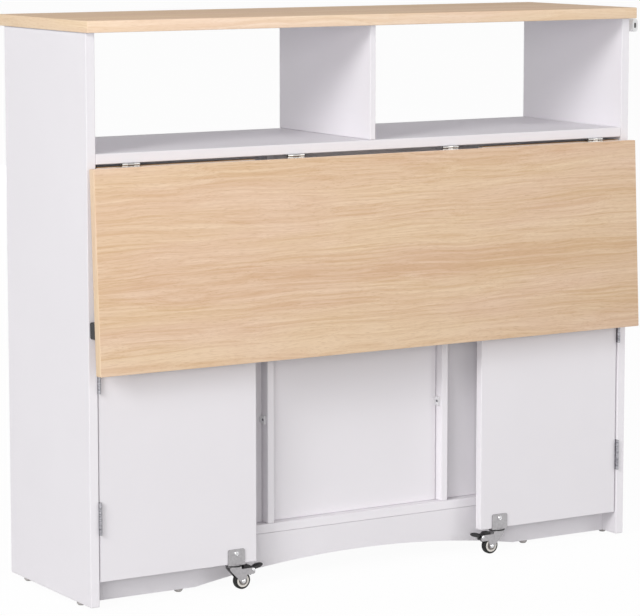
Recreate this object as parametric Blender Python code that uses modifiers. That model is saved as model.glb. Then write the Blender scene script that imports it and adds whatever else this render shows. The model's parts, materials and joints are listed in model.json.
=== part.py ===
"""Kitchen island with open compartments, a drop leaf and two swing-out gates on braked casters.

Units are metres and degrees, with +Z up. The dining side, where the leaf hangs, faces -Y, and the
kitchen side faces +Y. Places are worked out in the island's own frame, with x = 0 midway between the
side panels, y = 0 at their dining edges and z = 0 on the floor. One empty then moves the whole island
so that the origin lies under the middle of its box.
"""
import math

import bmesh
import bpy
from mathutils import Matrix
from mathutils import Vector

# Clearances and edges
SEAT_GAP = 0.0003
EDGE_ROUND = 0.0008

# Carcass boards
CARCASS_WIDTH = 1.017
CARCASS_DEPTH = 0.283
PANEL_HEIGHT = 0.878
BOARD = 0.015
PARTITION_THICKNESS = 0.012
DIVIDER_THICKNESS = 0.010

# Countertop
TOP_THICKNESS = 0.018
TOP_END_OVERHANG = 0.0045
TOP_DINING_OVERHANG = 0.0145
TOP_KITCHEN_OVERHANG = 0.0125

# Open compartments, and the shelf below them that the leaf folds from
COMPARTMENT_HEIGHT = 0.182
TABLE_THICKNESS = 0.016

# Cabinet below the shelf
CABINET_RECESS = 0.0385
BACK_PANEL_SETBACK = 0.016
BACK_PANEL_THICKNESS = 0.005
BACK_PANEL_SIDE_GAP = 0.0018
BAY_SHELF_SETBACK = 0.012
BAY_SHELF_HEIGHT = 0.300
APRON_HEIGHT = 0.071
ARCH_SPAN = 0.610
ARCH_RISE = 0.0265
PLINTH_SETBACK = 0.030

# Clips that hold the back panels to the partitions
CLIP_HEIGHT = 0.014
CLIP_REACH = 0.010
CLIP_WIDTH = 0.006
CLIP_TAB = 0.003
CLIP_RISE = 0.160

# Glides under the boards
GLIDE_HEIGHT = 0.005
GLIDE_RADIUS = 0.007
GLIDE_INSET = 0.048
APRON_GLIDE_FROM_ARCH = 0.027

# Butt hinges: the fold, the barrel and the pin that both kinds share
FLAP_FOLD_GAP = 0.0004
BARREL_RADIUS = 0.0025
BARREL_CLEARANCE = 0.0004
KNUCKLE_GAP = 0.0004
PIN_RADIUS = 0.0010
PIN_CLEARANCE = 0.0002

# Drop leaf
LEAF_END_INSET = 0.001
LEAF_LENGTH = 0.313
LEAF_LEAN = 3.0
LEAF_EDGE_GAP = 0.004
LEAF_HINGE_LENGTH = 0.030
LEAF_HINGE_FLAP = 0.018
LEAF_FLAP_THICKNESS = 0.0012
LEAF_HINGE_INSET = 0.057
LEAF_HINGE_COUNT = 4
LEAF_HINGE_KNUCKLES = 3

# Stop blocks behind the leaf, which rest on the side panels' edges
STOP_LENGTH = 0.026
STOP_WIDTH = 0.012
STOP_FROM_LEAF_END = 0.055
STOP_ROUND = 0.002

# Gates
GATE_WIDTH = 0.2765
GATE_RECESS = 0.002
GATE_TOP_GAP = 0.005
GATE_HINGE_LENGTH = 0.051
GATE_HINGE_FLAP = 0.013
GATE_FLAP_THICKNESS = 0.0007
GATE_HINGE_INSET = 0.100
GATE_HINGE_COUNT = 3
GATE_HINGE_KNUCKLES = 5

# Caster brackets on the gates
CASTER_FROM_FREE_EDGE = 0.0375
BRACKET_WIDTH = 0.030
BRACKET_PLATE_HEIGHT = 0.024
BRACKET_THICKNESS = 0.0016
BRACKET_CORNER = 0.003
BRACKET_FLANGE_REACH = 0.020
RACE_RADIUS = 0.0125
RACE_HEIGHT = 0.0024
KINGPIN_RADIUS = 0.0025
KINGPIN_CLEARANCE = 0.0003
RIVET_RADIUS = 0.0045
RIVET_THICKNESS = 0.0012

# Caster forks, wheels and brake pedals
WHEEL_RADIUS = 0.014
WHEEL_WIDTH = 0.010
WHEEL_SIDE_GAP = 0.0008
HUB_RADIUS = 0.0095
HUB_DISH = 0.0015
HUB_BOSS_RADIUS = 0.0042
TYRE_SHOULDER = 0.0025
AXLE_RADIUS = 0.0018
AXLE_CLEARANCE = 0.0002
AXLE_HEAD = 0.0008
CASTER_TRAIL = 0.014
TYRE_TO_CROWN = 0.0088
CROWN_RADIUS = 0.0105
CROWN_THICKNESS = 0.0016
FORK_LEG = 0.0015
FORK_BOSS = 0.0045
FORK_EAR = 0.0030
FORK_SHOULDER = 0.0030
FORK_ARM_DEPTH = 0.0072
FORK_WEB = 0.0064
PEDAL_PIVOT_BEHIND = 0.018
TYRE_TO_PIVOT = 0.0025
PEDAL_PIN_RADIUS = 0.0012
PEDAL_BARREL = 0.0032
PEDAL_FOOT_LENGTH = 0.0195
PEDAL_FOOT_WIDTH = 0.015
PEDAL_FOOT_THICKNESS = 0.0075
PEDAL_FOOT_RISE = 0.0038
PEDAL_FOOT_TILT = 12.0
PEDAL_FOOT_START = 0.0010
PEDAL_NECK_RADIUS = 0.0021
PEDAL_LOBE_REACH = 0.014
PEDAL_LOBE_ROOT = 0.0065
PEDAL_LOBE_RISE = 0.0048
PEDAL_LOBE_RADIUS = 0.0026
BRAKE_CLEARANCE = 0.0015
BRAKE_CAM_RADIUS = 0.0020
BRAKE_CAM_ANGLE = 25.0

# Towel rail on the right side panel
RAIL_LENGTH = 0.211
RAIL_HEIGHT = 0.022
RAIL_THICKNESS = 0.011
RAIL_STANDOFF = 0.040
RAIL_FROM_TOP = 0.014
RAIL_POST_RADIUS = 0.0045
RAIL_POST_INSET = 0.030
RAIL_FLANGE_RADIUS = 0.0085
RAIL_FLANGE_THICKNESS = 0.003
RAIL_SLOT_WIDTH = 0.0045
RAIL_SLOT_HEIGHT = 0.009
RAIL_SLOT_DEPTH = 0.012

# Facets of round pieces
ROUND_STEPS = 28
BARREL_STEPS = 14
SMALL_STEPS = 12
ARCH_STEPS = 24
CORNER_STEPS = 4

LEFT = -1
RIGHT = 1
SIDE_NAMES = {LEFT: "left", RIGHT: "right"}

# Heights above the floor
panel_bottom = GLIDE_HEIGHT + SEAT_GAP
panel_top = panel_bottom + PANEL_HEIGHT
table_top = panel_top - COMPARTMENT_HEIGHT
table_underside = table_top - TABLE_THICKNESS
bottom_board_underside = panel_bottom + APRON_HEIGHT
bottom_board_top = bottom_board_underside + SEAT_GAP + BOARD
crown_underside = 2 * WHEEL_RADIUS + TYRE_TO_CROWN
crown_top = crown_underside + CROWN_THICKNESS
race_underside = crown_top + SEAT_GAP
flange_underside = race_underside + RACE_HEIGHT
gate_bottom = flange_underside + BRACKET_THICKNESS + SEAT_GAP
gate_top = table_underside - GATE_TOP_GAP

# Places across the island
inner_half_width = CARCASS_WIDTH / 2 - BOARD
bay_width = (2 * inner_half_width - 2 * PARTITION_THICKNESS) / 3
partition_place = (bay_width + PARTITION_THICKNESS) / 2
leaf_flap_offset = FLAP_FOLD_GAP / 2 + LEAF_FLAP_THICKNESS + SEAT_GAP
gate_flap_offset = FLAP_FOLD_GAP / 2 + GATE_FLAP_THICKNESS + SEAT_GAP
leaf_half_width = CARCASS_WIDTH / 2 - LEAF_END_INSET
leaf_hinge_spacing = 2 * (inner_half_width - LEAF_HINGE_INSET) / (LEAF_HINGE_COUNT - 1)
apron_glide_place = ARCH_SPAN / 2 + APRON_GLIDE_FROM_ARCH

# Joint axes
leaf_axis_y = -LEAF_EDGE_GAP
leaf_axis_z = table_underside - leaf_flap_offset
gate_axis_x = inner_half_width - gate_flap_offset
gate_axis_y = -BARREL_RADIUS - SEAT_GAP
caster_axis_x = gate_axis_x - gate_flap_offset - GATE_WIDTH + CASTER_FROM_FREE_EDGE
caster_axis_y = GATE_RECESS + BOARD / 2
pedal_pivot_x = CASTER_TRAIL + PEDAL_PIVOT_BEHIND
pedal_pivot_z = 2 * WHEEL_RADIUS + TYRE_TO_PIVOT

# Box of the whole island, whose middle is put at the origin
lean = math.radians(LEAF_LEAN)
leaf_tip_y = -(leaf_flap_offset + TABLE_THICKNESS) * math.cos(lean)
leaf_tip_y -= (LEAF_EDGE_GAP + LEAF_LENGTH) * math.sin(lean)
box_dining_y = min(leaf_axis_y + leaf_tip_y, -TOP_DINING_OVERHANG)
box_kitchen_y = CARCASS_DEPTH + TOP_KITCHEN_OVERHANG
box_left_x = -CARCASS_WIDTH / 2 - TOP_END_OVERHANG
box_right_x = CARCASS_WIDTH / 2 + max(TOP_END_OVERHANG, RAIL_STANDOFF + RAIL_THICKNESS / 2)


# Scene and materials


def clear_scene():
    """Remove what the scene holds."""
    for old in list(bpy.data.objects):
        bpy.data.objects.remove(old, do_unlink=True)


def make_material(name, colour, roughness, metallic=0.0):
    """Return a Principled material."""
    material = bpy.data.materials.new(name)
    material.use_nodes = True
    shader = material.node_tree.nodes["Principled BSDF"]
    shader.inputs["Base Color"].default_value = (*colour, 1.0)
    shader.inputs["Roughness"].default_value = roughness
    shader.inputs["Metallic"].default_value = metallic
    return material


clear_scene()
island = bpy.data.collections.new("kitchen_island")
bpy.context.scene.collection.children.link(island)

WHITE_BOARD = make_material("white_board", (0.84, 0.83, 0.85), 0.45)
OAK_LAMINATE = make_material("oak_laminate", (0.72, 0.51, 0.34), 0.50)
HINGE_STEEL = make_material("hinge_steel", (0.62, 0.62, 0.63), 0.30, 1.0)
ZINC = make_material("zinc_plate", (0.55, 0.55, 0.56), 0.38, 1.0)
BLACK_PLASTIC = make_material("black_plastic", (0.025, 0.025, 0.027), 0.45)
BLACK_RUBBER = make_material("black_rubber", (0.022, 0.022, 0.022), 0.70)
GREY_PLASTIC = make_material("grey_plastic", (0.45, 0.45, 0.46), 0.45)
WHITE_PLASTIC = make_material("white_plastic", (0.80, 0.80, 0.81), 0.40)
WHITE_ENAMEL = make_material("white_enamel", (0.82, 0.82, 0.83), 0.35)


# Shapes


def place(name, mesh, material, parent, location=(0, 0, 0), turn=None):
    """Put a mesh into the island as one named object."""
    piece = bpy.data.objects.new(name, mesh)
    island.objects.link(piece)
    piece.parent = parent
    piece.matrix_local = Matrix.Translation(location) @ (turn or Matrix()).to_4x4()
    if not mesh.materials:
        mesh.materials.append(material)
    return piece


def make_axis(name, parent, location, rotation=(0, 0, 0)):
    """Return an empty on a joint axis."""
    empty = bpy.data.objects.new(name, None)
    island.objects.link(empty)
    empty.parent = parent
    empty.location = location
    empty.rotation_euler = rotation
    empty.empty_display_size = 0.03
    return empty


def smooth(mesh, sharp_angle=35.0):
    """Shade round faces smooth and keep the hard edges."""
    mesh.shade_smooth()
    mesh.set_sharp_from_angle(angle=math.radians(sharp_angle))
    return mesh


def box_mesh(low, high):
    """Return a box between two corners."""
    low = Vector(low)
    size = Vector(high) - low
    shape = bmesh.new()
    matrix = Matrix.Translation(low + size / 2) @ Matrix.Diagonal((*size, 1.0))
    bmesh.ops.create_cube(shape, size=1.0, matrix=matrix)
    mesh = bpy.data.meshes.new("box")
    shape.to_mesh(mesh)
    shape.free()
    return mesh


def rod_mesh(start, end, radius, steps):
    """Return a round rod between two points."""
    start = Vector(start)
    along = Vector(end) - start
    turn = Vector((0, 0, 1)).rotation_difference(along).to_matrix().to_4x4()
    shape = bmesh.new()
    bmesh.ops.create_cone(
        shape, cap_ends=True, segments=steps, radius1=radius, radius2=radius, depth=along.length,
        matrix=Matrix.Translation(start + along / 2) @ turn,
    )
    mesh = bpy.data.meshes.new("rod")
    shape.to_mesh(mesh)
    shape.free()
    return mesh


def evaluated(source):
    """Return the mesh of an object with its modifiers applied, with its loose caps welded."""
    bpy.context.view_layer.update()
    graph = bpy.context.evaluated_depsgraph_get()
    mesh = bpy.data.meshes.new_from_object(source.evaluated_get(graph))
    shape = bmesh.new()
    shape.from_mesh(mesh)
    bmesh.ops.remove_doubles(shape, verts=shape.verts, dist=1e-6)
    shape.to_mesh(mesh)
    shape.free()
    return mesh


def outline_mesh(points, thickness, turn=None):
    """Return a flat plate from its outline, with its middle plane at z = 0 before the turn."""
    curve = bpy.data.curves.new("outline", "CURVE")
    curve.dimensions = "2D"
    curve.fill_mode = "BOTH"
    curve.extrude = thickness / 2
    spline = curve.splines.new("POLY")
    spline.points.add(len(points) - 1)
    for spot, (across, up) in zip(spline.points, points):
        spot.co = (across, up, 0, 1)
    spline.use_cyclic_u = True
    drawn = bpy.data.objects.new("outline", curve)
    island.objects.link(drawn)
    mesh = evaluated(drawn)
    bpy.data.objects.remove(drawn)
    if turn is not None:
        mesh.transform(turn)
    return mesh


def turned_mesh(profile, closed, steps):
    """Return a shape turned about Z from a profile that runs down its outer side."""
    shape = bmesh.new()
    spots = [shape.verts.new((radius, 0, height)) for radius, height in profile]
    for first, second in zip(spots, spots[1:]):
        shape.edges.new((first, second))
    if closed:
        shape.edges.new((spots[-1], spots[0]))
    mesh = bpy.data.meshes.new("profile")
    shape.to_mesh(mesh)
    shape.free()
    lathe = bpy.data.objects.new("profile", mesh)
    island.objects.link(lathe)
    screw = lathe.modifiers.new("turn", "SCREW")
    screw.angle = 2 * math.pi
    screw.steps = steps
    screw.render_steps = steps
    screw.use_merge_vertices = True
    screw.merge_threshold = 1e-5
    turned = evaluated(lathe)
    bpy.data.objects.remove(lathe)
    return turned


def fused(solids, cutters=()):
    """Return one mesh from overlapping solids, less the cutters."""
    stock = []
    for mesh in (*solids, *cutters):
        held = bpy.data.objects.new("stock", mesh)
        island.objects.link(held)
        stock.append(held)
    base = stock[0]
    for number, held in enumerate(stock[1:], start=1):
        join = base.modifiers.new("join", "BOOLEAN")
        join.operation = "UNION" if number < len(solids) else "DIFFERENCE"
        join.solver = "EXACT"
        join.object = held
    mesh = evaluated(base)
    for held in stock:
        bpy.data.objects.remove(held)
    return mesh


def arc(centre, radius, start, end, steps):
    """Return points on an arc, with its angles in degrees."""
    points = []
    for step in range(steps + 1):
        angle = math.radians(start + (end - start) * step / steps)
        points.append((centre[0] + radius * math.cos(angle), centre[1] + radius * math.sin(angle)))
    return points


def capsule(width, height):
    """Return an upright outline with round ends."""
    radius = width / 2
    rise = height / 2 - radius
    lower = arc((0, -rise), radius, 180, 360, 2 * CORNER_STEPS)
    upper = arc((0, rise), radius, 0, 180, 2 * CORNER_STEPS)
    return lower + upper


def wrapped(circles):
    """Return the outline that a tight band around the circles would take."""
    cloud = []
    for across, up, radius in circles:
        cloud += arc((across, up), radius, 0, 345, 23)
    cloud.sort()

    def half(points):
        chain = []
        for point in points:
            while len(chain) > 1 and turn_of(chain[-2], chain[-1], point) <= 0:
                chain.pop()
            chain.append(point)
        return chain[:-1]

    return half(cloud) + half(cloud[::-1])


def tangent_angle(first, second):
    """Return the direction from two circles' middles to the straight line on their right, in degrees."""
    across = second[0] - first[0]
    up = second[1] - first[1]
    spread = math.acos((first[2] - second[2]) / math.hypot(across, up))
    return math.degrees(math.atan2(up, across) - spread)


def turn_of(first, second, third):
    """Return a positive number where three points turn left."""
    ahead = (second[0] - first[0]) * (third[1] - first[1])
    return ahead - (second[1] - first[1]) * (third[0] - first[0])


def facing(flap, offset):
    """Return the turn that sends X along the flap and Y to the side that it lies on."""
    flap = Vector(flap)
    offset = Vector(offset)
    return Matrix((flap, offset, flap.cross(offset))).transposed()


UPRIGHT = Matrix.Rotation(math.radians(90), 4, "X")


def add_board(name, low, high, material, parent):
    """Place a board between two corners, with its edges broken."""
    board = place(name, box_mesh(low, high), material, parent)
    bevel = board.modifiers.new("broken_edges", "BEVEL")
    bevel.width = EDGE_ROUND
    bevel.segments = 1
    return board


# Hinges


def hinge_half(length, flap, thickness, knuckles, own, has_pin):
    """Return one half of a butt hinge.

    The pin lies along Z through the origin. The flap runs along +X, on the +Y side of the pin. The
    half owns every second knuckle, from the one numbered by own.
    """
    pitch = length / knuckles
    inner = FLAP_FOLD_GAP / 2
    outer = inner + thickness
    root = BARREL_RADIUS + BARREL_CLEARANCE
    solids = [box_mesh((root, inner, -length / 2), (flap, outer, length / 2))]
    bores = []
    for number in range(own, knuckles, 2):
        low = -length / 2 + number * pitch + KNUCKLE_GAP / 2
        high = low + pitch - KNUCKLE_GAP
        solids.append(rod_mesh((0, 0, low), (0, 0, high), BARREL_RADIUS, BARREL_STEPS))
        solids.append(box_mesh((0, inner, low), (root + EDGE_ROUND, outer, high)))
        bores.append((low - KNUCKLE_GAP, high + KNUCKLE_GAP))
    cutters = []
    if has_pin:
        reach = length / 2 - KNUCKLE_GAP
        solids.append(rod_mesh((0, 0, -reach), (0, 0, reach), PIN_RADIUS, SMALL_STEPS))
    else:
        bore = PIN_RADIUS + PIN_CLEARANCE
        cutters = [rod_mesh((0, 0, low), (0, 0, high), bore, SMALL_STEPS) for low, high in bores]
    return smooth(fused(solids, cutters))


# Carcass


def build_carcass(root):
    """Place the fixed boards and their fittings."""
    width = inner_half_width - SEAT_GAP
    half = CARCASS_WIDTH / 2
    for side in (LEFT, RIGHT):
        across = sorted((side * half, side * inner_half_width))
        low = (across[0], 0, panel_bottom)
        high = (across[1], CARCASS_DEPTH, panel_top)
        add_board(f"side_panel_{SIDE_NAMES[side]}", low, high, WHITE_BOARD, root)
    top_low = (-half - TOP_END_OVERHANG, -TOP_DINING_OVERHANG, panel_top + SEAT_GAP)
    top_high = (half + TOP_END_OVERHANG, box_kitchen_y, panel_top + SEAT_GAP + TOP_THICKNESS)
    add_board("countertop", top_low, top_high, OAK_LAMINATE, root)
    add_board(
        "table_shelf", (-width, 0, table_underside),
        (width, CARCASS_DEPTH, table_top), WHITE_BOARD, root,
    )
    divider = DIVIDER_THICKNESS / 2
    add_board(
        "upper_divider", (-divider, 0, table_top + SEAT_GAP),
        (divider, CARCASS_DEPTH, panel_top), WHITE_BOARD, root,
    )
    add_board(
        "bottom_board", (-width, CABINET_RECESS, bottom_board_underside + SEAT_GAP),
        (width, CARCASS_DEPTH, bottom_board_top), WHITE_BOARD, root,
    )
    plinth_face = CARCASS_DEPTH - PLINTH_SETBACK
    add_board(
        "kitchen_plinth", (-width, plinth_face - BOARD, panel_bottom),
        (width, plinth_face, bottom_board_underside), WHITE_BOARD, root,
    )
    build_apron(root, width)
    build_bays(root)
    build_glides(root)
    build_towel_rail(root)


def build_apron(root, width):
    """Place the arched apron under the bottom board."""
    half_span = ARCH_SPAN / 2
    radius = (half_span ** 2 + ARCH_RISE ** 2) / (2 * ARCH_RISE)
    sweep = math.degrees(math.asin(half_span / radius))
    centre = (0, panel_bottom + ARCH_RISE - radius)
    outline = [(width, panel_bottom), (width, bottom_board_underside), (-width, bottom_board_underside)]
    outline += [(-width, panel_bottom)]
    outline += arc(centre, radius, 90 + sweep, 90 - sweep, ARCH_STEPS)
    middle = Matrix.Translation((0, CABINET_RECESS + BOARD / 2, 0))
    place("arched_apron", outline_mesh(outline, BOARD, middle @ UPRIGHT), WHITE_BOARD, root)


def build_bays(root):
    """Place the partitions, and the back panel and the shelf of each of the three bays."""
    floor = bottom_board_top + SEAT_GAP
    ceiling = table_underside - SEAT_GAP
    panel_face = CABINET_RECESS + BACK_PANEL_SETBACK
    panel_back = panel_face + BACK_PANEL_THICKNESS
    shelf_front = CARCASS_DEPTH - BAY_SHELF_SETBACK
    shelf_top = floor + BAY_SHELF_HEIGHT
    half = PARTITION_THICKNESS / 2
    for side in (LEFT, RIGHT):
        middle = side * partition_place
        low = (middle - half, CABINET_RECESS, floor)
        high = (middle + half, CARCASS_DEPTH, ceiling)
        add_board(f"partition_{SIDE_NAMES[side]}", low, high, WHITE_BOARD, root)
        clip_face = middle - half - SEAT_GAP
        clip = place(f"panel_clip_{SIDE_NAMES[side]}", clip_mesh(), WHITE_PLASTIC, root)
        clip.location = (clip_face, panel_face - SEAT_GAP, floor + CLIP_RISE)
    reach = bay_width / 2 - SEAT_GAP
    panel_reach = bay_width / 2 - BACK_PANEL_SIDE_GAP
    step = bay_width + PARTITION_THICKNESS
    for number, bay in enumerate(("left", "centre", "right"), start=-1):
        middle = number * step
        low = (middle - panel_reach, panel_face, floor)
        high = (middle + panel_reach, panel_back, ceiling)
        add_board(f"back_panel_{bay}", low, high, WHITE_BOARD, root)
        low = (middle - reach, panel_back + SEAT_GAP, shelf_top - BOARD)
        high = (middle + reach, shelf_front, shelf_top)
        add_board(f"bay_shelf_{bay}", low, high, WHITE_BOARD, root)


def clip_mesh():
    """Return a clip: a block on the partition with a thinner tab across the back panel."""
    block = box_mesh((-CLIP_WIDTH / 2, -CLIP_REACH, 0), (0, 0, CLIP_HEIGHT))
    tab = box_mesh((-CLIP_WIDTH, -CLIP_TAB, CLIP_TAB), (0, 0, CLIP_HEIGHT - CLIP_TAB))
    return fused([block, tab])


def build_glides(root):
    """Place the glides under the side panels and the apron."""
    spots = {}
    for side in (LEFT, RIGHT):
        across = side * (CARCASS_WIDTH - BOARD) / 2
        spots[f"glide_dining_{SIDE_NAMES[side]}"] = (across, GLIDE_INSET)
        spots[f"glide_kitchen_{SIDE_NAMES[side]}"] = (across, CARCASS_DEPTH - GLIDE_INSET)
        spots[f"glide_apron_{SIDE_NAMES[side]}"] = (side * apron_glide_place, CABINET_RECESS + BOARD / 2)
    shoulder = GLIDE_HEIGHT / 2
    profile = [(0, GLIDE_HEIGHT), (GLIDE_RADIUS, GLIDE_HEIGHT), (GLIDE_RADIUS, shoulder)]
    profile += [(GLIDE_RADIUS - shoulder, 0), (0, 0)]
    mesh = smooth(turned_mesh(profile, False, ROUND_STEPS // 2))
    for name, (across, deep) in spots.items():
        place(name, mesh, GREY_PLASTIC, root, (across, deep, 0))


def build_towel_rail(root):
    """Place the towel rail on the right side panel."""
    wall = CARCASS_WIDTH / 2 + SEAT_GAP
    middle = Vector((CARCASS_WIDTH / 2 + RAIL_STANDOFF, CARCASS_DEPTH / 2, panel_top - RAIL_FROM_TOP))
    along = Matrix.Translation(middle) @ UPRIGHT
    solids = [outline_mesh(capsule(RAIL_THICKNESS, RAIL_HEIGHT), RAIL_LENGTH, along)]
    slot = outline_mesh(capsule(RAIL_SLOT_WIDTH, RAIL_SLOT_HEIGHT), 2 * RAIL_SLOT_DEPTH)
    cutters = []
    for end in (-1, 1):
        cutter = slot.copy()
        reach = Matrix.Translation((0, end * RAIL_LENGTH / 2, 0))
        cutter.transform(reach @ along)
        cutters.append(cutter)
        post = middle + Vector((0, end * (RAIL_LENGTH / 2 - RAIL_POST_INSET), 0))
        foot = Vector((wall, post.y, post.z))
        solids.append(rod_mesh(foot, post, RAIL_POST_RADIUS, ROUND_STEPS // 2))
        flange_end = foot + Vector((RAIL_FLANGE_THICKNESS, 0, 0))
        solids.append(rod_mesh(foot, flange_end, RAIL_FLANGE_RADIUS, ROUND_STEPS // 2))
    place("towel_rail", smooth(fused(solids, cutters)), WHITE_ENAMEL, root)


# Drop leaf


def build_leaf(root):
    """Place the leaf, its hinges and its stop blocks."""
    axis = make_axis("leaf_axis", root, (0, leaf_axis_y, leaf_axis_z), (-lean, 0, 0))
    half = leaf_half_width
    inner = -leaf_flap_offset
    tip = -LEAF_EDGE_GAP - LEAF_LENGTH
    low = (-half, inner - TABLE_THICKNESS, tip)
    high = (half, inner, -LEAF_EDGE_GAP)
    add_board("drop_leaf", low, high, OAK_LAMINATE, axis)
    shape = (LEAF_HINGE_LENGTH, LEAF_HINGE_FLAP, LEAF_FLAP_THICKNESS, LEAF_HINGE_KNUCKLES)
    on_shelf = facing((0, 1, 0), (0, 0, 1))
    on_leaf = facing((0, 0, -1), (0, -1, 0))
    first = LEAF_HINGE_INSET - inner_half_width
    halves = {}
    for swap in (0, 1):
        halves[swap] = (hinge_half(*shape, 1 - swap, True), hinge_half(*shape, swap, False))
    for number in range(LEAF_HINGE_COUNT):
        across = first + number * leaf_hinge_spacing
        fixed, moving = halves[0 if across < 0 else 1]
        name = f"leaf_hinge_{number + 1}"
        place(f"{name}_shelf_plate", fixed, HINGE_STEEL, root, (across, leaf_axis_y, leaf_axis_z), on_shelf)
        place(f"{name}_leaf_plate", moving, HINGE_STEEL, axis, (across, 0, 0), on_leaf)
    stop_low = tip + STOP_FROM_LEAF_END
    stop_high = stop_low + STOP_LENGTH
    touch = (-leaf_axis_y - SEAT_GAP - stop_high * math.sin(lean)) / math.cos(lean)
    for side in (LEFT, RIGHT):
        middle = side * (CARCASS_WIDTH - BOARD) / 2
        low = (middle - STOP_WIDTH / 2, inner + SEAT_GAP, stop_low)
        high = (middle + STOP_WIDTH / 2, touch, stop_high)
        stop = add_board(f"leaf_stop_{SIDE_NAMES[side]}", low, high, BLACK_PLASTIC, axis)
        stop.modifiers["broken_edges"].width = STOP_ROUND


# Gates and casters


def build_gate(root, side):
    """Place one gate with its hinges, bracket and caster."""
    name = SIDE_NAMES[side]
    inward = -side
    axis = make_axis(f"gate_axis_{name}", root, (side * gate_axis_x, gate_axis_y, 0))
    across = sorted((inward * gate_flap_offset, inward * (gate_flap_offset + GATE_WIDTH)))
    face = GATE_RECESS - gate_axis_y
    low = (across[0], face, gate_bottom)
    high = (across[1], face + BOARD, gate_top)
    add_board(f"gate_{name}", low, high, WHITE_BOARD, axis)
    shape = (GATE_HINGE_LENGTH, GATE_HINGE_FLAP, GATE_FLAP_THICKNESS, GATE_HINGE_KNUCKLES)
    fixed = hinge_half(*shape, 1, True)
    moving = hinge_half(*shape, 0, False)
    on_panel = facing((0, 1, 0), (side, 0, 0))
    on_gate = facing((0, 1, 0), (inward, 0, 0))
    lowest = gate_bottom + GATE_HINGE_INSET
    pitch = (gate_top - GATE_HINGE_INSET - lowest) / (GATE_HINGE_COUNT - 1)
    for number in range(GATE_HINGE_COUNT):
        height = lowest + number * pitch
        hinge = f"gate_hinge_{name}_{number + 1}"
        spot = (side * gate_axis_x, gate_axis_y, height)
        place(f"{hinge}_panel_plate", fixed, HINGE_STEEL, root, spot, on_panel)
        place(f"{hinge}_gate_plate", moving, HINGE_STEEL, axis, (0, 0, height), on_gate)
    build_caster(axis, side)


def build_caster(gate, side):
    """Place the bracket, fork, wheel and pedal at the gate's free lower corner."""
    name = SIDE_NAMES[side]
    spot = (side * (caster_axis_x - gate_axis_x), caster_axis_y - gate_axis_y, 0)
    place(f"caster_bracket_{name}", bracket_mesh(), ZINC, gate, spot)
    trailing = Matrix.Rotation(math.radians(0 if side == LEFT else 180), 4, "Z")
    swivel = make_axis(f"caster_axis_{name}", gate, spot)
    place(f"caster_fork_{name}", fork_mesh(), ZINC, swivel, turn=trailing)
    hub_spot = trailing @ Vector((CASTER_TRAIL, 0, WHEEL_RADIUS))
    wheel = make_axis(f"wheel_axis_{name}", swivel, hub_spot)
    place(f"caster_tyre_{name}", tyre_mesh(), BLACK_RUBBER, wheel)
    place(f"caster_hub_{name}", hub_mesh(), GREY_PLASTIC, wheel)
    pivot_spot = trailing @ Vector((pedal_pivot_x, 0, pedal_pivot_z))
    pivot = make_axis(f"pedal_axis_{name}", swivel, pivot_spot)
    place(f"brake_pedal_{name}", pedal_mesh(), BLACK_PLASTIC, pivot, turn=trailing)


def bracket_mesh():
    """Return the angle bracket with the ball race and the kingpin that the fork turns on."""
    outside = GATE_RECESS - SEAT_GAP - caster_axis_y
    half = BRACKET_WIDTH / 2
    foot = flange_underside
    head = gate_bottom + BRACKET_PLATE_HEIGHT
    shoulder = half - BRACKET_CORNER
    outline = [(-half, foot), (half, foot)]
    outline += arc((shoulder, head - BRACKET_CORNER), BRACKET_CORNER, 0, 90, CORNER_STEPS)
    outline += arc((-shoulder, head - BRACKET_CORNER), BRACKET_CORNER, 90, 180, CORNER_STEPS)
    turn = Matrix.Translation((0, outside - BRACKET_THICKNESS / 2, 0)) @ UPRIGHT
    plate = outline_mesh(outline, BRACKET_THICKNESS, turn)
    back = outside - BRACKET_THICKNESS
    flange = box_mesh((-half, back, foot), (half, back + BRACKET_FLANGE_REACH, foot + BRACKET_THICKNESS))
    middle = foot + BRACKET_THICKNESS / 2
    race = rod_mesh((0, 0, race_underside), (0, 0, middle), RACE_RADIUS, ROUND_STEPS)
    head_top = crown_underside - SEAT_GAP
    head_foot = head_top - RIVET_THICKNESS
    pin_top = race_underside + RACE_HEIGHT / 2
    pin = rod_mesh((0, 0, head_foot), (0, 0, pin_top), KINGPIN_RADIUS, SMALL_STEPS)
    rivet = rod_mesh((0, 0, head_foot), (0, 0, head_top), RIVET_RADIUS, SMALL_STEPS)
    return smooth(fused([plate, flange, race, pin, rivet]))


def fork_outline():
    """Return the side of a fork leg, from the crown to the axle, with an arm to the pedal's pivot."""
    shoulder = crown_top - FORK_SHOULDER
    inset = CROWN_RADIUS - FORK_SHOULDER
    front = tangent_angle((-inset, shoulder, FORK_SHOULDER), (CASTER_TRAIL, WHEEL_RADIUS, FORK_BOSS))
    arm_low = pedal_pivot_z - FORK_ARM_DEPTH
    web = (CASTER_TRAIL + FORK_WEB, arm_low)
    rear = tangent_angle((CASTER_TRAIL, WHEEL_RADIUS, FORK_BOSS), (*web, 0))
    outline = arc((CASTER_TRAIL, WHEEL_RADIUS), FORK_BOSS, front, rear, 2 * CORNER_STEPS)
    outline.append(web)
    outline += arc((pedal_pivot_x, arm_low + FORK_EAR), FORK_EAR, -90, 0, CORNER_STEPS)
    outline += arc((pedal_pivot_x, pedal_pivot_z), FORK_EAR, 0, 90, CORNER_STEPS)
    outline.append((CROWN_RADIUS, pedal_pivot_z + FORK_EAR))
    outline += arc((inset, shoulder), FORK_SHOULDER, 0, 90, CORNER_STEPS)
    outline += arc((-inset, shoulder), FORK_SHOULDER, 90, front + 360, CORNER_STEPS)
    return outline


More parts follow.
